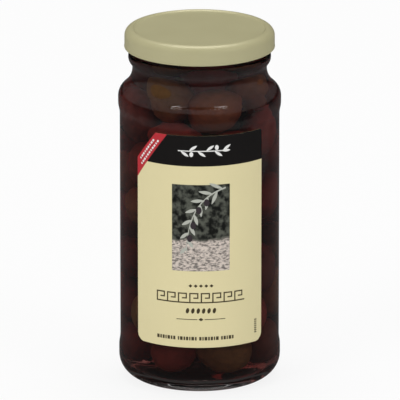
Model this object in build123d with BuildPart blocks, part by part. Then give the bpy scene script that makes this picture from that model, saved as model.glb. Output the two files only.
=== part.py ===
"""Tall glass jar of olives in dark brine, with a twist-off lid and a paper label.

Sizes are in millimetres.  The jar stands on Z = 0 with its axis on Z, and the
label faces -Y.  Every round piece is turned from a half section drawn on the
XZ plane, where X is the radius.
"""

import os
from math import atan2, cos, degrees, radians, sin, sqrt

from build123d import *

# --- jar, outside -----------------------------------------------------------
rim_z = 157.35  # top of the glass, where the lid seats
heel_r = 35.5  # bulge that guards the label at the bottom
panel_r = 34.95  # recessed band that carries the label
shoulder_r = 35.65  # bulge that guards the label at the top
neck_r = 29.38  # narrowest place, under the bead
bead_r = 31.2  # bead just under the lid
finish_r = 29.6  # wall that the thread stands on

heel_round = 9.8  # corner between the side and the bearing ring
heel_top = 12.9  # the heel bulge ends here
panel_bottom = 18.9
panel_top = 119.4
shoulder_bottom = 125.2  # the shoulder bulge starts here
shoulder_top = 127.4  # and turns into the neck here
shoulder_round = 6.0  # that outward turn
neck_round = 10.4  # the hollow turn that follows it
bead_bottom = 145.2
bead_top = 147.2
bead_round = 1.6
rim_round = 1.25

# --- jar, inside and base ---------------------------------------------------
wall = 2.9  # glass behind the label
floor_t = 4.6  # glass at the middle of the base
heel_t = 5.0  # glass under the edge of the inside floor
inside_round = 8.0  # corner between the inside floor and the side
push_up = 2.6  # height of the hollow under the base
bearing_w = 2.2  # width of the ring that the jar stands on

# --- lid --------------------------------------------------------------------
lid_r = 32.93  # over the rolled edge
lid_h = 8.7
sheet_t = 0.25
skirt_set = 0.12  # the skirt stands in from the rolled edge
lid_round = 3.4  # outer corner
ring_inner_r = 29.2  # the raised edge steps down to the panel here
step_run = 0.7
step_drop = 0.5
step_round = 0.3
curl_d = 1.1  # rolled edge

# --- thread on the glass and lugs on the lid --------------------------------
starts = 4
thread_lead = 9.0  # rise in a full turn
thread_turn = 62.0  # degrees that each ridge runs
thread_h = 1.5  # how far a ridge stands out
thread_w = 1.5
thread_root = 0.3  # how far a ridge is sunk in the wall that carries it
lug_gap = 0.25  # between a lug and the ridge above it
lug_turn = 14.0  # degrees
lug_t = 0.8
lug_reach = 1.5  # how far a lug stands in from the rolled edge

# --- label ------------------------------------------------------------------
label_t = 0.12
label_w = 61.0  # measured round the glass
label_bottom = 22.5
label_h = 96.3
label_corner = 4.0  # lower corners
label_nick = 1.0  # upper corner on the right
flash_w = 10.4  # corner cut off at the upper left, across
flash_h = 12.9  # and down

# --- contents ---------------------------------------------------------------
headspace = 7.2  # from the rim down to the brine

# --- what follows from these sizes ------------------------------------------
inner_r = panel_r - wall
bearing_r = heel_r - heel_round
floor_z = push_up + floor_t
brine_z = rim_z - headspace

# The shoulder's outward turn and the neck's hollow turn touch at one point, and
# the inside of the glass follows both at the same distance.
shoulder_wall = shoulder_r - inner_r
bore_r = neck_r - shoulder_wall
turn_in_r = shoulder_r - shoulder_round
turn_out_r = neck_r + neck_round
turn_rise = sqrt((shoulder_round + neck_round) ** 2 - (turn_out_r - turn_in_r) ** 2)
turn_out_z = shoulder_top + turn_rise
turn_angle = degrees(atan2(turn_rise, turn_out_r - turn_in_r))

panel_z = rim_z + sheet_t  # the panel's underside lies on the glass
lid_top = panel_z + step_drop
lid_bottom = lid_top - lid_h
skirt_r = lid_r - skirt_set
curl_r = lid_r - curl_d / 2
curl_z = lid_bottom + curl_d / 2
lug_top = lid_bottom + curl_d

# A ridge clears the lug below it over the lug's whole width.
thread_mid_z = lug_top + lug_gap + thread_w / 2 + thread_lead * lug_turn / 720
thread_rise = thread_lead * thread_turn / 360


def s_curve(start, end):
    """A blend that leaves and arrives parallel to the axis."""
    middle = (start[1] + end[1]) / 2
    Bezier(start, (start[0], middle), (end[0], middle), end)


def inside_line(top_z):
    """The inside of the glass from top_z in the neck down to the middle of the floor."""
    Line((bore_r, top_z), (bore_r, turn_out_z))
    CenterArc((turn_out_r, turn_out_z), neck_round + shoulder_wall, 180, turn_angle)
    CenterArc((turn_in_r, shoulder_top), shoulder_round - shoulder_wall, 0, turn_angle)
    Line((inner_r, shoulder_top), (inner_r, heel_t + inside_round))
    corner_r = inner_r - inside_round
    CenterArc((corner_r, heel_t + inside_round), inside_round, -90, 90)
    Bezier((corner_r, heel_t), (corner_r / 2, heel_t), (corner_r / 2, floor_z), (0, floor_z))


# --- jar: base, heel, label panel, shoulder, neck, bead and finish -----------
with BuildPart(mode=Mode.PRIVATE) as ridge:
    ridge_z = thread_mid_z - thread_rise / 2
    with BuildLine() as ridge_path:
        Helix(thread_lead, thread_rise, finish_r, center=(0, 0, ridge_z))
    with BuildSketch(Plane(ridge_path.line @ 0, x_dir=(1, 0, 0), z_dir=ridge_path.line % 0)):
        with BuildLine():
            Polyline(
                (-thread_root, -thread_w / 2),
                (0, -thread_w / 2),
                (thread_h, -thread_w / 4),
                (thread_h, thread_w / 4),
                (0, thread_w / 2),
                (-thread_root, thread_w / 2),
                close=True,
            )
        make_face()
    sweep(path=ridge_path.line, is_frenet=True)

with BuildPart() as jar:
    with BuildSketch(Plane.XZ):
        with BuildLine():
            TangentArc((0, push_up), (bearing_r - bearing_w, 0), tangent=(1, 0))
            Line((bearing_r - bearing_w, 0), (bearing_r, 0))
            CenterArc((bearing_r, heel_round), heel_round, -90, 90)
            Line((heel_r, heel_round), (heel_r, heel_top))
            s_curve((heel_r, heel_top), (panel_r, panel_bottom))
            Line((panel_r, panel_bottom), (panel_r, panel_top))
            s_curve((panel_r, panel_top), (shoulder_r, shoulder_bottom))
            Line((shoulder_r, shoulder_bottom), (shoulder_r, shoulder_top))
            CenterArc((turn_in_r, shoulder_top), shoulder_round, 0, turn_angle)
            CenterArc((turn_out_r, turn_out_z), neck_round, 180, turn_angle)
            s_curve((neck_r, turn_out_z), (bead_r, bead_bottom))
            Line((bead_r, bead_bottom), (bead_r, bead_top - bead_round))
            CenterArc((bead_r - bead_round, bead_top - bead_round), bead_round, 0, 90)
            Line((bead_r - bead_round, bead_top), (finish_r, bead_top))
            Line((finish_r, bead_top), (finish_r, rim_z - rim_round))
            CenterArc((finish_r - rim_round, rim_z - rim_round), rim_round, 0, 90)
            Line((finish_r - rim_round, rim_z), (bore_r + rim_round, rim_z))
            CenterArc((bore_r + rim_round, rim_z - rim_round), rim_round, 90, 90)
            inside_line(rim_z - rim_round)
            Line((0, floor_z), (0, push_up))
        make_face()
    revolve(axis=Axis.Z)
    with PolarLocations(0, starts):
        add(ridge.part)
jar.part.label = "jar"

# --- lid: one drawn sheet, its lower edge rolled in, with lugs pressed inwards ---
with BuildPart(mode=Mode.PRIVATE) as lug:
    with BuildSketch(Plane.XZ):
        with Locations((curl_r, lug_top)):
            Rectangle(curl_d / 2 + lug_reach, lug_t, align=(Align.MAX, Align.MAX))
    revolve(axis=Axis.Z, revolution_arc=lug_turn)

with BuildPart() as lid:
    with BuildSketch(Plane.XZ):
        with BuildLine() as sheet:
            FilletPolyline(
                (skirt_r, curl_z),
                (skirt_r, lid_top),
                (ring_inner_r, lid_top),
                (ring_inner_r - step_run, panel_z),
                (ring_inner_r / 2, panel_z),
                radius=[lid_round, step_round, step_round],
            )
            Line(sheet.line @ 1, (0, panel_z))
            offset(amount=-sheet_t, side=Side.LEFT)
        make_face()
        with Locations((curl_r, curl_z)):
            Circle(curl_d / 2)
    revolve(axis=Axis.Z)
    with PolarLocations(0, starts, start_angle=(thread_turn - lug_turn) / 2):
        add(lug.part)
lid.part.label = "lid"

# --- label: a strip of paper on the panel, its upper left corner cut off -----
label_turn = degrees(label_w / panel_r)
label_top = label_bottom + label_h
past = 0.2  # a cut runs past the paper by this share of its own size


def label_plane(turn, z):
    """Plane through the axis at an angle from the front: X is the radius, Y is up."""
    x_dir = Vector(sin(radians(turn)), -cos(radians(turn)), 0)
    return Plane(origin=(0, 0, z), x_dir=x_dir, z_dir=x_dir.cross(Vector(0, 0, 1)))


def corner_plane(side, z):
    """Plane against the glass at a corner of the label: X runs out past the edge, Y is up."""
    edge = label_plane(side * label_turn / 2, z)
    outward = edge.z_dir * -side
    origin = edge.origin + edge.x_dir * panel_r
    return Plane(origin=origin, x_dir=outward, z_dir=outward.cross(Vector(0, 0, 1)))


def round_corner(side, z, inward, radius):
    """Round one corner of the paper: inward is 1 at the lower edge and -1 at the upper."""
    with BuildSketch(corner_plane(side, z)) as waste:
        with Locations((-radius, inward * radius)):
            Rectangle(2 * radius, 2 * radius, align=(Align.MIN, Align.CENTER))
            Circle(radius, mode=Mode.SUBTRACT)
            Rectangle(
                2 * radius,
                radius,
                align=(Align.MIN, Align.MIN if inward > 0 else Align.MAX),
                mode=Mode.SUBTRACT,
            )
    extrude(waste.sketch, amount=wall, both=True, mode=Mode.SUBTRACT)


with BuildPart() as label:
    with BuildSketch(label_plane(-label_turn / 2, label_bottom)):
        with Locations((panel_r, 0)):
            Rectangle(label_t, label_h, align=(Align.MIN, Align.MIN))
    revolve(axis=Axis.Z, revolution_arc=label_turn)
    round_corner(-1, label_bottom, 1, label_corner)
    round_corner(1, label_bottom, 1, label_corner)
    round_corner(1, label_top, -1, label_nick)
    with BuildSketch(corner_plane(-1, label_top)):
        with BuildLine():
            Polyline(
                (-flash_w * (1 + past), flash_h * past),
                (flash_w * past, -flash_h * (1 + past)),
                (flash_w * past, flash_h * past),
                close=True,
            )
        make_face()
    extrude(amount=wall, both=True, mode=Mode.SUBTRACT)
label.part.label = "label"

# --- contents: brine and olives fill the glass up to a level behind the lid ---
with BuildPart() as brine:
    with BuildSketch(Plane.XZ):
        with BuildLine():
            inside_line(brine_z)
            Polyline((0, floor_z), (0, brine_z), (bore_r, brine_z))
        make_face()
    revolve(axis=Axis.Z)
brine.part.label = "brine"

os.makedirs("parts", exist_ok=True)
for piece in (jar.part, lid.part, label.part, brine.part):
    export_step(piece, f"parts/{piece.label}.step")
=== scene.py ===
"""Looks of a jar of olives: clear glass, dark brine, olives, gold lid and printed label."""
import math
import random

import bmesh
import bpy
from mathutils import Euler, Matrix, Vector

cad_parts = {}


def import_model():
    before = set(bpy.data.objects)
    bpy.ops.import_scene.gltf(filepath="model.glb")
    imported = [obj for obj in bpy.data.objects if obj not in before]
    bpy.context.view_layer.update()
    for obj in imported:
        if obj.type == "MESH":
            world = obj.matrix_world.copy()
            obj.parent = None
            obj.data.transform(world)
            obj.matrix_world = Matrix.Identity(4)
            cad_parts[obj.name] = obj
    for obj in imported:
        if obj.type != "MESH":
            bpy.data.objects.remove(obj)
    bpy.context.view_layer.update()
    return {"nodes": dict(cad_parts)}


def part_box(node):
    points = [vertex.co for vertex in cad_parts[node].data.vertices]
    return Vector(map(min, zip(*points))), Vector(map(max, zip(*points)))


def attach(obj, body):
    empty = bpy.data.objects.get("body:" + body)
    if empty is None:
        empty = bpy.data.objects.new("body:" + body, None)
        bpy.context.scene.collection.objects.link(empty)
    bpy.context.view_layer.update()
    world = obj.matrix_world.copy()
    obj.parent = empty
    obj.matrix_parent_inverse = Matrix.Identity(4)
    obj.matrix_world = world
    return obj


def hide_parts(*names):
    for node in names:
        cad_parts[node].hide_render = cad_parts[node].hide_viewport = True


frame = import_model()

MM = 0.001
nodes = frame["nodes"]
bpy.context.scene.view_settings.view_transform = "Standard"

# --- sizes that follow from the frame, in metres -----------------------------
label_low, label_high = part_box("label")
brine_low, brine_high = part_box("brine")
PAPER = 0.12 * MM  # thickness of the label
PAPER_R = -label_low.y  # the label's outer face
GLASS_R = PAPER_R - PAPER
LABEL_HALF = PAPER_R * math.asin(label_high.x / PAPER_R)  # half its width, laid flat
LABEL_LOW = label_low.z
LABEL_TOP = label_high.z
INSIDE_R = brine_high.x


# --- shader maths ------------------------------------------------------------
class Field:
    """A value that changes over a surface or with the ray. Arithmetic adds Math nodes."""

    def __init__(self, shading, socket):
        self.shading = shading
        self.socket = socket

    def math(self, operation, first, second=0.0):
        return self.shading.node("ShaderNodeMath", {"operation": operation}, [first, second])

    def __add__(self, other):
        return self.math("ADD", self, other)

    def __radd__(self, other):
        return self.math("ADD", other, self)

    def __sub__(self, other):
        return self.math("SUBTRACT", self, other)

    def __rsub__(self, other):
        return self.math("SUBTRACT", other, self)

    def __mul__(self, other):
        return self.math("MULTIPLY", self, other)

    def __rmul__(self, other):
        return self.math("MULTIPLY", other, self)

    def power(self, exponent):
        return self.math("POWER", self, exponent)

    def step(self, start, end):
        """0 at start, 1 at end, smooth between."""
        settings = {"interpolation_type": "SMOOTHSTEP"}
        return self.shading.node("ShaderNodeMapRange", settings, {0: self, 1: start, 2: end})


class Shading:
    """A node tree, with one way of adding nodes to it."""

    def __init__(self, tree):
        self.tree = tree

    def node(self, kind, settings, sockets, output=0):
        """Add a node: its settings come first, then the values or links of its sockets."""
        made = self.tree.nodes.new(kind)
        for setting, value in settings.items():
            setattr(made, setting, value)
        pairs = sockets.items() if isinstance(sockets, dict) else enumerate(sockets)
        for socket, value in pairs:
            if isinstance(value, Field):
                self.link(value, made.inputs[socket])
            else:
                made.inputs[socket].default_value = value
        return Field(self, made.outputs[output])

    def link(self, field, socket):
        self.tree.links.new(field.socket, socket)

    def ray(self, kind):
        """1 for one kind of ray, such as Camera, and 0 for the others."""
        return self.node("ShaderNodeLightPath", {}, {}, f"Is {kind} Ray")


class Finish(Shading):
    """A material with one Principled shader."""

    def __init__(self, name, **constants):
        self.material = bpy.data.materials.new(name)
        self.material.use_nodes = True
        super().__init__(self.material.node_tree)
        self.shader = self.tree.nodes["Principled BSDF"]
        for socket, value in constants.items():
            self.shader.inputs[socket.replace("_", " ")].default_value = value

    def place(self):
        return self.node("ShaderNodeTexCoord", {}, {}, "Object")

    def axes(self):
        """X, Y and Z of the place."""
        split = self.node("ShaderNodeSeparateXYZ", {}, {0: self.place()})
        return [Field(self, output) for output in split.socket.node.outputs]

    def from_axis(self):
        """Distance from the jar's axis."""
        x, y, _ = self.axes()
        return (x * x + y * y).power(0.5)

    def noise(self, scale, detail=3.0, stretch=(1, 1, 1)):
        spot = self.node("ShaderNodeMapping", {}, {"Vector": self.place(), "Scale": stretch})
        sockets = {"Vector": spot, "Scale": scale, "Detail": detail}
        return self.node("ShaderNodeTexNoise", {}, sockets)

    def mix(self, amount, first, second):
        sockets = {"Factor": amount, 6: first, 7: second}
        return self.node("ShaderNodeMix", {"data_type": "RGBA"}, sockets, 2)

    def use(self, socket, value):
        self.link(value, self.shader.inputs[socket])

    def bump(self, height, depth):
        self.use("Normal", self.node("ShaderNodeBump", {}, {"Height": height, "Distance": depth}))

    def output(self, socket, shader):
        self.link(shader, self.tree.nodes["Material Output"].inputs[socket])


def put_on(piece, finish):
    piece.data.materials.clear()
    piece.data.materials.append(finish.material)


# --- finishes ----------------------------------------------------------------
def clear_glass():
    """Moulded glass: a very faint green, and long shallow waves down the wall."""
    tint = (0.96, 0.975, 0.965, 1)
    glass = Finish("clear_glass", Transmission_Weight=1.0, IOR=1.5, Base_Color=tint, Roughness=0.0)
    glass.bump(glass.noise(60, 1.0, (1, 1, 0.35)), 0.25 * MM)
    return glass


def dark_brine():
    """Red-brown brine that darkens with depth. Its own surface doesn't reflect."""
    brine = Finish(
        "dark_brine", Transmission_Weight=1.0, IOR=1.35, Roughness=0.0, Specular_IOR_Level=0.0
    )
    cloud = brine.noise(90, 2.0)
    brine.use("Base Color", brine.mix(cloud, (0.86, 0.70, 0.68, 1), (0.95, 0.84, 0.82, 1)))
    depth = {"Color": (0.66, 0.12, 0.08, 1), "Density": 70.0}
    brine.output("Volume", brine.node("ShaderNodeVolumeAbsorption", {}, depth))
    return brine


def olive_skin():
    """Each olive in its own tone, mottled, and with painted shade: darker towards the middle of
    the jar, as if deeper in the brine.
    """
    skin = Finish("olive_skin", IOR=1.45, Specular_IOR_Level=0.08)
    tint = skin.node("ShaderNodeAttribute", {"attribute_name": "tint"}, {}, "Color")
    # painted shade: the olives' colour darkens with distance from the glass, standing in for light
    # lost deeper in the brine
    near_glass_painted_light = skin.from_axis().step(INSIDE_R - 20 * MM, INSIDE_R)
    mottle = skin.noise(260, 4.0)
    light = (0.55 + 0.45 * near_glass_painted_light) * (0.7 + 0.6 * mottle)
    # this near-black colour is reached through both the painted shade and the random mottle
    skin.use("Base Color", skin.mix(light, (0.030, 0.008, 0.006, 1), tint))
    skin.use("Roughness", 0.45 + 0.25 * mottle)
    skin.bump(skin.noise(900, 4.0), 0.25 * MM)
    return skin


def gold_lacquer():
    """Pale gold lacquer on drawn tinplate, with a fine grain across it."""
    gold = Finish("gold_lacquer", Metallic=0.12, Coat_Weight=0.15, Coat_Roughness=0.25)
    cloud = gold.noise(45, 3.0)
    fine = gold.noise(1400, 2.0, (1, 1, 0.2))
    colour = gold.mix(cloud, (0.500, 0.465, 0.262, 1), (0.560, 0.525, 0.310, 1))
    gold.use("Base Color", colour)
    gold.use("Roughness", 0.30 + 0.10 * cloud + 0.05 * fine)
    gold.bump(fine, 0.02 * MM)
    return gold


def paper(name, colour, worn):
    """Printed paper: fine fibre, and a slight unevenness of the ink."""
    sheet = Finish(name, IOR=1.45)
    fibre = sheet.noise(2600, 4.0)
    cloud = sheet.noise(40, 2.0)
    sheet.use("Base Color", sheet.mix(0.55 * fibre + 0.45 * cloud, colour, worn))
    sheet.use("Roughness", 0.42 + 0.16 * fibre)
    sheet.bump(fibre, 0.012 * MM)
    return sheet


def picture_ground():
    """The printed picture's ground: dusk above, pale stony earth below."""
    ground = Finish("picture_ground", IOR=1.45)
    height = ground.axes()[2]
    leafy = ground.noise(420, 5.0)
    stony = ground.noise(700, 4.0, (1, 1, 2.2))
    dusk = ground.mix(leafy.step(0.36, 0.66), (0.008, 0.009, 0.007, 1), (0.105, 0.112, 0.088, 1))
    earth = ground.mix(stony.step(0.34, 0.62), (0.18, 0.160, 0.145, 1), (0.70, 0.61, 0.54, 1))
    ridge = height + 7 * MM * (ground.noise(110, 2.0) - 0.5)
    far = ridge.step(LABEL_LOW + 48 * MM, LABEL_LOW + 50 * MM)
    ground.use("Base Color", ground.mix(far, earth, dusk))
    ground.use("Roughness", 0.40 + 0.15 * leafy)
    return ground


# --- making flat print and wrapping it round the glass -------------------------
CELL = 2.0 * MM  # flat print is divided this finely, so that it follows the curve
CUT_MERGE = 0.001 * MM  # a cut takes a corner this near to be on its line


def deselect():
    if bpy.context.object and bpy.context.object.mode != "OBJECT":
        bpy.ops.object.mode_set(mode="OBJECT")
    bpy.ops.object.select_all(action="DESELECT")


def active(piece):
    deselect()
    piece.select_set(True)
    bpy.context.view_layer.objects.active = piece


def settle():
    """Write the active piece's place into its mesh."""
    bpy.ops.object.transform_apply(location=True, rotation=True, scale=True)
    return bpy.context.object


def bar(left, low, right, high, turn=0.0):
    """A flat rectangle in the XZ plane that faces -Y."""
    deselect()
    columns = max(1, math.ceil((right - left) / CELL))
    rows = max(1, math.ceil((high - low) / CELL))
    bpy.ops.mesh.primitive_grid_add(x_subdivisions=columns, y_subdivisions=rows, size=1)
    piece = bpy.context.object
    piece.scale = (right - left, high - low, 1)
    settle()
    piece.rotation_euler = (math.pi / 2, -turn, 0)
    piece.location = ((left + right) / 2, 0, (low + high) / 2)
    return settle()


def stroke(middle, length, height, turn):
    """A turned bar, given by its middle."""
    half = Vector((length, height)) / 2
    return bar(middle.x - half.x, middle.y - half.y, middle.x + half.x, middle.y + half.y, turn)


def oval(x, z, half_x, half_z, turn=0.0, points=20, tip=0.0):
    """A flat oval in the XZ plane; tip sharpens both its ends into a leaf."""
    deselect()
    bpy.ops.mesh.primitive_circle_add(vertices=points, radius=1, fill_type="TRIFAN")
    piece = bpy.context.object
    for vertex in piece.data.vertices:
        vertex.co.y *= 1 - tip * vertex.co.x ** 2
    piece.scale = (half_x, half_z, 1)
    settle()
    piece.rotation_euler = (math.pi / 2, -turn, 0)
    piece.location = (x, 0, z)
    return settle()


def lozenge(x, z, half_x, half_z):
    return oval(x, z, half_x, half_z, points=4)


def cut(piece, x, z, out_x, out_z):
    """Cut a flat piece along the line through (x, z) and drop what lies outwards."""
    active(piece)
    bpy.ops.object.mode_set(mode="EDIT")
    bpy.ops.mesh.select_all(action="SELECT")
    outward = Vector((out_x, 0, out_z)).normalized()
    bpy.ops.mesh.bisect(
        plane_co=(x, 0, z), plane_no=outward, clear_outer=True, threshold=CUT_MERGE
    )
    bpy.ops.object.mode_set(mode="OBJECT")


def round_corner(piece, x, z, side_x, side_z, radius):
    """Round one corner of a flat piece with three straight cuts."""
    centre_x = x - side_x * radius
    centre_z = z - side_z * radius
    for angle in (15, 45, 75):
        away_x = side_x * math.cos(math.radians(angle))
        away_z = side_z * math.sin(math.radians(angle))
        cut(piece, centre_x + away_x * radius, centre_z + away_z * radius, away_x, away_z)


def wrapped(name, flats, finish, thickness, outer_r):
    """Join flat pieces, give them their thickness and wrap them round the jar."""
    deselect()
    for flat in flats:
        flat.select_set(True)
    bpy.context.view_layer.objects.active = flats[0]
    if len(flats) > 1:
        bpy.ops.object.join()
    piece = bpy.context.object
    piece.name = name
    piece.data.name = name
    thick = piece.modifiers.new("thickness", "SOLIDIFY")
    thick.thickness = thickness
    thick.offset = -1
    bpy.ops.object.modifier_apply(modifier="thickness")
    for vertex in piece.data.vertices:
        radius = outer_r - vertex.co.y
        angle = vertex.co.x / GLASS_R
        vertex.co = (radius * math.sin(angle), -radius * math.cos(angle), vertex.co.z)
    bpy.ops.object.mode_set(mode="EDIT")
    bpy.ops.mesh.select_all(action="SELECT")
    bpy.ops.mesh.normals_make_consistent(inside=False)
    bpy.ops.object.mode_set(mode="OBJECT")
    bpy.ops.object.shade_smooth_by_angle(angle=math.radians(30))
    put_on(piece, finish)
    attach(piece, "root")
    return piece


# --- label ---------------------------------------------------------------------
FLASH_W, FLASH_H = 10.4 * MM, 12.9 * MM  # the cut corner, which is the flash's outer edge
FLASH_IN_W, FLASH_IN_H = 16.1 * MM, 21.6 * MM  # where its inner edge meets the label's edges
BAND_LOW = 105.1 * MM
LOW_CORNER_R, TOP_CORNER_R = 4 * MM, 1 * MM
INK = 0.03 * MM  # thickness of a printed layer
INK_R = PAPER_R + INK
TOP_INK_R = INK_R + INK
PRINT_X = 0.6 * MM  # middle of the small printed lines

cream = paper("cream_paper", (0.750, 0.665, 0.375, 1), (0.815, 0.735, 0.430, 1))
black_ink = paper("black_ink", (0.0075, 0.0062, 0.0060, 1), (0.0125, 0.0105, 0.0100, 1))
red_ink = paper("red_ink", (0.480, 0.016, 0.026, 1), (0.560, 0.026, 0.038, 1))
white_ink = paper("white_ink", (0.78, 0.78, 0.76, 1), (0.86, 0.86, 0.84, 1))
brown_ink = paper("brown_ink", (0.052, 0.038, 0.016, 1), (0.075, 0.055, 0.024, 1))
leaf_ink = paper("leaf_ink", (0.40, 0.42, 0.36, 1), (0.55, 0.56, 0.50, 1))
fruit_ink = paper("fruit_ink", (0.030, 0.022, 0.028, 1), (0.060, 0.045, 0.052, 1))


def cut_flash_corner(sheet):
    cut(sheet, FLASH_W - LABEL_HALF, LABEL_TOP, -FLASH_H, FLASH_W)


def label_paper():
    sheet = bar(-LABEL_HALF, LABEL_LOW, LABEL_HALF, LABEL_TOP)
    round_corner(sheet, -LABEL_HALF, LABEL_LOW, -1, -1, LOW_CORNER_R)
    round_corner(sheet, LABEL_HALF, LABEL_LOW, 1, -1, LOW_CORNER_R)
    round_corner(sheet, LABEL_HALF, LABEL_TOP, 1, 1, TOP_CORNER_R)
    cut_flash_corner(sheet)
    piece = wrapped("label_paper", [sheet], cream, PAPER, PAPER_R)
    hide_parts("label")


def label_band():
    """The black band along the label's top, cut away where the flash lies."""
    band = bar(-LABEL_HALF, BAND_LOW, LABEL_HALF, LABEL_TOP)
    round_corner(band, LABEL_HALF, LABEL_TOP, 1, 1, TOP_CORNER_R)
    cut(band, FLASH_IN_W - LABEL_HALF, LABEL_TOP, -FLASH_IN_H, FLASH_IN_W)
    wrapped("label_band", [band], black_ink, INK, INK_R)


def label_flash():
    """The red flash across the upper left corner."""
    flash = bar(-LABEL_HALF, LABEL_TOP - FLASH_IN_H, FLASH_IN_W - LABEL_HALF, LABEL_TOP)
    cut_flash_corner(flash)
    cut(flash, FLASH_IN_W - LABEL_HALF, LABEL_TOP, FLASH_IN_H, -FLASH_IN_W)
    wrapped("label_flash", [flash], red_ink, INK, INK_R)


def flash_marks():
    """Two rows of short white strokes that run along the flash."""
    slope = math.atan2(FLASH_IN_H + FLASH_H, FLASH_IN_W + FLASH_W)
    along = Vector((math.cos(slope), math.sin(slope)))
    across = Vector((-along.y, along.x))
    middle = Vector((-LABEL_HALF + 6.5 * MM, LABEL_TOP - 8.8 * MM))
    row_offset, pitch, height = 0.95 * MM, 1.45 * MM, 0.84 * MM
    long_mark, short_mark = 1.05 * MM, 0.65 * MM
    marks = []
    for offset, count in ((row_offset, 9), (-row_offset, 11)):
        for number in range(count):
            length = long_mark if number % 3 else short_mark
            spot = middle + across * offset + along * (number - (count - 1) / 2) * pitch
            marks.append(stroke(spot, length, height, slope))
    wrapped("flash_marks", marks, white_ink, INK, TOP_INK_R)


def sprig():
    """A white olive sprig lying across the black band."""
    x, z = 1.0 * MM, 112.0 * MM
    left, right, half_stem = 10.5 * MM, 9 * MM, 0.22 * MM
    half_leaf, half_leaf_w, leaf_tip = 2.0 * MM, 0.62 * MM, 0.5
    first, pitch, lean = -9.2 * MM, 3.7 * MM, math.radians(34)
    parts = [bar(x - left, z - half_stem, x + right, z + half_stem)]
    for number in range(6):
        root = x + first + number * pitch
        side = 1 if number % 2 else -1
        leaf_x, leaf_z = root + 1.7 * MM, z + side * 1.35 * MM
        parts.append(oval(leaf_x, leaf_z, half_leaf, half_leaf_w, side * lean, tip=leaf_tip))
        if number in (1, 4):
            parts.append(oval(root + 0.9 * MM, z - side * 1.5 * MM, 0.85 * MM, 1.15 * MM))
    parts.append(oval(x + 10.6 * MM, z, half_leaf, half_leaf_w, tip=leaf_tip))
    wrapped("sprig", parts, white_ink, INK, TOP_INK_R)


PICTURE_LEFT, PICTURE_RIGHT = -12.2 * MM, 13.4 * MM
PICTURE_LOW, PICTURE_TOP = 57.5 * MM, 96.7 * MM
TWIG_STEPS = 13
LEAF_INK_R = TOP_INK_R + 0.4 * INK
FRUIT_INK_R = TOP_INK_R + 0.8 * INK


def picture():
    """A printed olive branch that hangs down from the picture's upper right."""
    ground = bar(PICTURE_LEFT, PICTURE_LOW, PICTURE_RIGHT, PICTURE_TOP)
    wrapped("picture_ground", [ground], picture_ground(), INK, INK_R)
    start = Vector((PICTURE_RIGHT - 2.0 * MM, PICTURE_TOP - 1.6 * MM))
    bend = Vector((PICTURE_LEFT + 7.0 * MM, PICTURE_TOP - 6.0 * MM))
    end = Vector((PICTURE_LEFT + 6.5 * MM, PICTURE_LOW + 9.0 * MM))

    def along(t):
        return start * (1 - t) ** 2 + bend * 2 * t * (1 - t) + end * t * t

    stem, leaves, fruit = [], [], []
    for number in range(TWIG_STEPS):
        here = along(number / TWIG_STEPS)
        there = along(number / TWIG_STEPS + 1 / TWIG_STEPS)
        run = there - here
        slope = math.atan2(run.y, run.x)
        middle = (here + there) / 2
        width = (0.68 - 0.03 * number) * MM
        stem.append(stroke(middle, run.length * 1.1, width, slope))
        side = 1 if number % 2 else -1
        turn = slope + side * math.radians(42)
        reach = (3.3 - 0.10 * number) * MM
        leaf = middle + Vector((math.cos(turn), math.sin(turn))) * reach
        leaves.append(oval(leaf.x, leaf.y, reach, 0.78 * MM, turn, tip=0.55))
        if number in (3, 5, 8, 10):
            drop = middle + Vector((-0.6 * side, -2.6)) * MM
            fruit.append(oval(drop.x, drop.y, 1.25 * MM, 1.65 * MM))
    wrapped("picture_stem", stem, leaf_ink, INK, TOP_INK_R)
    wrapped("picture_leaves", leaves, leaf_ink, INK, LEAF_INK_R)
    wrapped("picture_fruit", fruit, fruit_ink, INK, FRUIT_INK_R)


def meander():
    """A key-pattern border in the largest printed line."""
    low, high, line = 42.9 * MM, 47.6 * MM, 0.56 * MM
    left, length, units = -19.6 * MM, 40.2 * MM, 8
    pitch = length / units
    middle = low + 0.44 * (high - low)
    parts = []
    for number in range(units):
        x = left + number * pitch
        inner = x + 0.80 * pitch
        parts.append(bar(x, low, x + line, high))
        parts.append(bar(x + line, high - line, inner, high))
        parts.append(bar(inner - line, middle, inner, high - line))
        parts.append(bar(x + 0.36 * pitch, middle, inner - line, middle + line))
        parts.append(bar(x + line, low, x + pitch, low + line))
    wrapped("meander", parts, brown_ink, INK, INK_R)


def small_lines():
    """The smaller printed lines: lozenges, ovals, a thin rule and short strokes."""
    parts = []
    for number in range(5):
        x = PRINT_X + (number - 2) * 2.3 * MM
        parts.append(lozenge(x, 50.8 * MM, 0.85 * MM, 0.75 * MM))
    for number in range(6):
        x = PRINT_X + (number - 2.5) * 2.35 * MM
        parts.append(oval(x, 39.4 * MM, 0.72 * MM, 1.25 * MM, math.radians(-12)))
    rule_low, rule_high, near, far = 35.3 * MM, 35.62 * MM, 1.6 * MM, 10.8 * MM
    parts.append(bar(PRINT_X - far, rule_low, PRINT_X - near, rule_high))
    parts.append(bar(PRINT_X + near, rule_low, PRINT_X + far, rule_high))
    parts.append(lozenge(PRINT_X, 35.46 * MM, 1.1 * MM, 0.75 * MM))
    x = -19.4 * MM
    for number in range(26):
        width = (1.15, 0.7, 0.95, 0.55)[number % 4] * MM
        gap = (1.15 if number % 7 == 6 else 0.42) * MM
        parts.append(bar(x, 25.9 * MM, x + width, 27.5 * MM))
        x += width + gap
    for number in range(7):
        z = (26.6 + number * 0.95) * MM
        parts.append(bar(26.2 * MM, z, 27.5 * MM, z + 0.5 * MM))
    wrapped("small_lines", parts, brown_ink, INK, INK_R)


# --- contents --------------------------------------------------------------------
INTO_GLASS = 0.08 * MM  # how far the brine reaches into the glass


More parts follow.
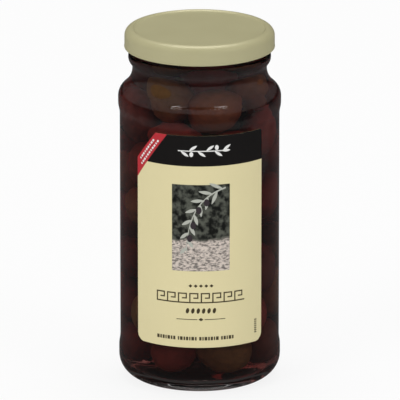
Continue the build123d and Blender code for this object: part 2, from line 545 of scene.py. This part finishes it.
def brine_body():
    """The brine, grown just into the glass so that no air shows between them."""
    active(nodes["brine"])
    bpy.ops.object.duplicate()
    piece = bpy.context.object
    piece.name = "brine_body"
    for key in list(piece.keys()):  # the copy isn't a CAD node
        del piece[key]
    bpy.ops.object.mode_set(mode="EDIT")
    bpy.ops.mesh.select_all(action="SELECT")
    bpy.ops.mesh.remove_doubles(threshold=0.002 * MM)
    bpy.ops.transform.shrink_fatten(value=INTO_GLASS)
    bpy.ops.object.mode_set(mode="OBJECT")
    bpy.ops.object.shade_smooth_by_angle(angle=math.radians(35))
    put_on(piece, dark_brine())
    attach(piece, "root")
    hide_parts("brine")


OLIVES = 58
OLIVE_SHAPES = 5
OLIVE_HALF = Vector((9.3, 9.3, 11.6)) * MM
OLIVE_TONES = (
    (0.62, 0.12, 0.09),
    (0.50, 0.17, 0.11),
    (0.72, 0.27, 0.13),
    (0.46, 0.14, 0.11),
    (0.64, 0.32, 0.13),
    (0.80, 0.16, 0.13),
)
PACKING_R = 9.9 * MM  # the round body that stands for an olive while they are packed
PACKING_SWEEPS = 240
START_SPREAD = 18  # millimetres from the axis before packing
NECK_H, NECK_IN = 12 * MM, 6.5 * MM  # the jar narrows by this much over the last height
OUTWARD_DRIFT = 1.004


def olive_shape(number, uneven):
    """One olive along Z: blunt at the stem, with a scar there and a small tip."""
    deselect()
    bpy.ops.mesh.primitive_uv_sphere_add(segments=28, ring_count=18, radius=1)
    shape = bpy.context.object
    shape.name = f"olive_shape_{number}"
    phase = uneven.uniform(0, 6.28)
    lean = uneven.uniform(-0.06, 0.06)
    for vertex in shape.data.vertices:
        x, y, z = vertex.co
        around = math.atan2(y, x)
        swell = 1 + 0.035 * math.sin(2 * around + phase + 2 * z) + 0.02 * math.sin(5 * z + around)
        taper = 1 - 0.07 * z
        tip = 0.07 * max(0.0, z) ** 12
        scar = 0.10 * max(0.0, -z - 0.93) / 0.07
        vertex.co = Vector((x * swell * taper + lean * z * z, y * swell * taper, z + tip + scar))
    shape.scale = OLIVE_HALF
    settle()
    bpy.ops.object.shade_smooth()
    return shape


def packed_places(count, chance):
    """Let round bodies push each other apart inside the glass until they lie loosely packed."""
    low = brine_low.z + 2.5 * MM + PACKING_R
    high = brine_high.z - 3.0 * MM - PACKING_R
    neck_z = high - NECK_H
    places = []
    for number in range(count):
        x = chance.uniform(-START_SPREAD, START_SPREAD) * MM
        y = chance.uniform(-START_SPREAD, START_SPREAD) * MM
        places.append(Vector((x, y, low + (high - low) * number / count)))
    for _ in range(PACKING_SWEEPS):
        for first in range(count):
            for second in range(first + 1, count):
                gap = places[second] - places[first]
                push = 2 * PACKING_R - gap.length
                if push > 0:
                    shift = gap.normalized() * push * 0.5
                    places[first] -= shift
                    places[second] += shift
        for spot in places:
            spot.z = min(max(spot.z, low), high)
            neck = max(0.0, (spot.z - neck_z) / (high - neck_z))
            reach = INSIDE_R - 0.5 * MM - OLIVE_HALF.x - neck * NECK_IN
            flat = Vector((spot.x, spot.y))
            flat *= OUTWARD_DRIFT
            if flat.length > reach:
                flat = flat.normalized() * reach
            spot.x, spot.y = flat
    return places


def olives():
    """All the olives in the brine, as one mesh; each keeps its own tone in an attribute."""
    chance = random.Random(7)
    shapes = [olive_shape(number, chance) for number in range(OLIVE_SHAPES)]
    whole = bpy.data.meshes.new("olives")
    mesh = bmesh.new()
    tint = mesh.verts.layers.float_color.new("tint")
    for number, spot in enumerate(packed_places(OLIVES, chance)):
        away = math.atan2(spot.y, spot.x)
        tilt = Euler((chance.uniform(-1.45, 1.45), 0, 0)).to_matrix()
        spin = Euler((0, 0, chance.uniform(0, 6.28))).to_matrix()
        facing = Euler((0, chance.uniform(-0.2, 0.2), away)).to_matrix()
        size = chance.uniform(0.93, 1.03)
        turned = Matrix.Translation(spot) @ (facing @ tilt @ spin).to_4x4() @ Matrix.Scale(size, 4)
        tone = OLIVE_TONES[chance.randrange(len(OLIVE_TONES))]
        depth = chance.uniform(0.75, 1.25)
        known = len(mesh.verts)
        copy = shapes[number % OLIVE_SHAPES].data.copy()
        copy.transform(turned)
        mesh.from_mesh(copy)
        bpy.data.meshes.remove(copy)
        mesh.verts.ensure_lookup_table()
        for vertex in mesh.verts[known:]:
            vertex[tint] = (tone[0] * depth, tone[1] * depth, tone[2] * depth, 1)
    mesh.to_mesh(whole)
    mesh.free()
    for face in whole.polygons:
        face.use_smooth = True
    piece = bpy.data.objects.new("olives", whole)
    bpy.context.scene.collection.objects.link(piece)
    for shape in shapes:
        bpy.data.objects.remove(shape)
    put_on(piece, olive_skin())
    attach(piece, "root")


# --- studio ----------------------------------------------------------------------
PLAIN = 0.45  # level of the light from all round
DIM = 0.02  # level that the glass and lid reflect
INSIDE = 0.40  # more light for rays that leave through the glass
FLOOR_LIFT = 0.86  # how far the floor goes to white before the camera
FLOOR_DIM = 0.93  # and to dusk as seen in or through the glass


def aim_at(stand, point):
    stand.rotation_euler = (point - stand.location).to_track_quat("-Z", "Y").to_euler()
    bpy.context.scene.collection.objects.link(stand)


def camera():
    distance, rise, aim = 3.2, math.radians(16.8), Vector((0, 0, 79.4 * MM))
    lens = bpy.data.cameras.new("camera")
    lens.sensor_width = 36
    lens.lens = 655.8
    lens.shift_x = 0.001
    eye = bpy.data.objects.new("camera", lens)
    eye.location = aim + distance * Vector((0, -math.cos(rise), math.sin(rise)))
    aim_at(eye, aim)
    bpy.context.scene.camera = eye


def floor():
    """A pale floor, almost white to the camera, that keeps the jar's shadow."""
    deselect()
    bpy.ops.mesh.primitive_grid_add(x_subdivisions=4, y_subdivisions=4, size=12)
    slab = bpy.context.object
    slab.name = "floor"
    grey = (0.86, 0.86, 0.86, 1)
    pale = Finish("floor_paint", Roughness=0.9, Specular_IOR_Level=0.0, Base_Color=grey)
    bare = Field(pale, pale.shader.outputs[0])
    white = pale.node("ShaderNodeEmission", {}, {"Strength": 1.0})
    dusk = pale.node("ShaderNodeEmission", {}, {"Strength": 0.03})
    lift = FLOOR_LIFT * pale.ray("Camera")
    lifted = pale.node("ShaderNodeMixShader", {}, [lift, bare, white])
    dim = FLOOR_DIM * (pale.ray("Glossy") + pale.ray("Transmission"))
    pale.output("Surface", pale.node("ShaderNodeMixShader", {}, [dim, lifted, dusk]))
    put_on(slab, pale)


def world():
    """White where the camera looks, plain soft light elsewhere, dim in reflections."""
    room = bpy.data.worlds.new("room")
    room.use_nodes = True
    bpy.context.scene.world = room
    sky = Shading(room.node_tree)
    back = sky.tree.nodes["Background"]
    back.inputs["Color"].default_value = (1, 1, 1, 1)
    level = PLAIN + (1 - PLAIN) * sky.ray("Camera")
    level = level + (DIM - PLAIN) * sky.ray("Glossy") + INSIDE * sky.ray("Transmission")
    sky.link(level, back.inputs["Strength"])


def lamp(name, place, size, power, shines=True):
    """A soft box aimed at the jar; one that doesn't shine stays out of the glass."""
    light = bpy.data.lights.new(name, "AREA")
    light.shape = "RECTANGLE"
    light.size, light.size_y = size
    light.energy = power
    stand = bpy.data.objects.new(name, light)
    stand.location = place
    stand.visible_glossy = shines
    stand.visible_transmission = shines
    aim_at(stand, Vector((0, 0, 0.08)))


camera()
floor()
world()
lamp("top_softbox", (0.0, 0.5, 2.2), (1.6, 1.2), 21)
lamp("front_left_softbox", (-1.9, -1.9, 1.3), (1.2, 1.4), 26, shines=False)
lamp("front_right_softbox", (2.1, -1.7, 1.1), (1.2, 1.4), 17, shines=False)

put_on(nodes["jar"], clear_glass())
put_on(nodes["lid"], gold_lacquer())
label_paper()
label_band()
label_flash()
flash_marks()
sprig()
picture()
meander()
small_lines()
brine_body()
olives()
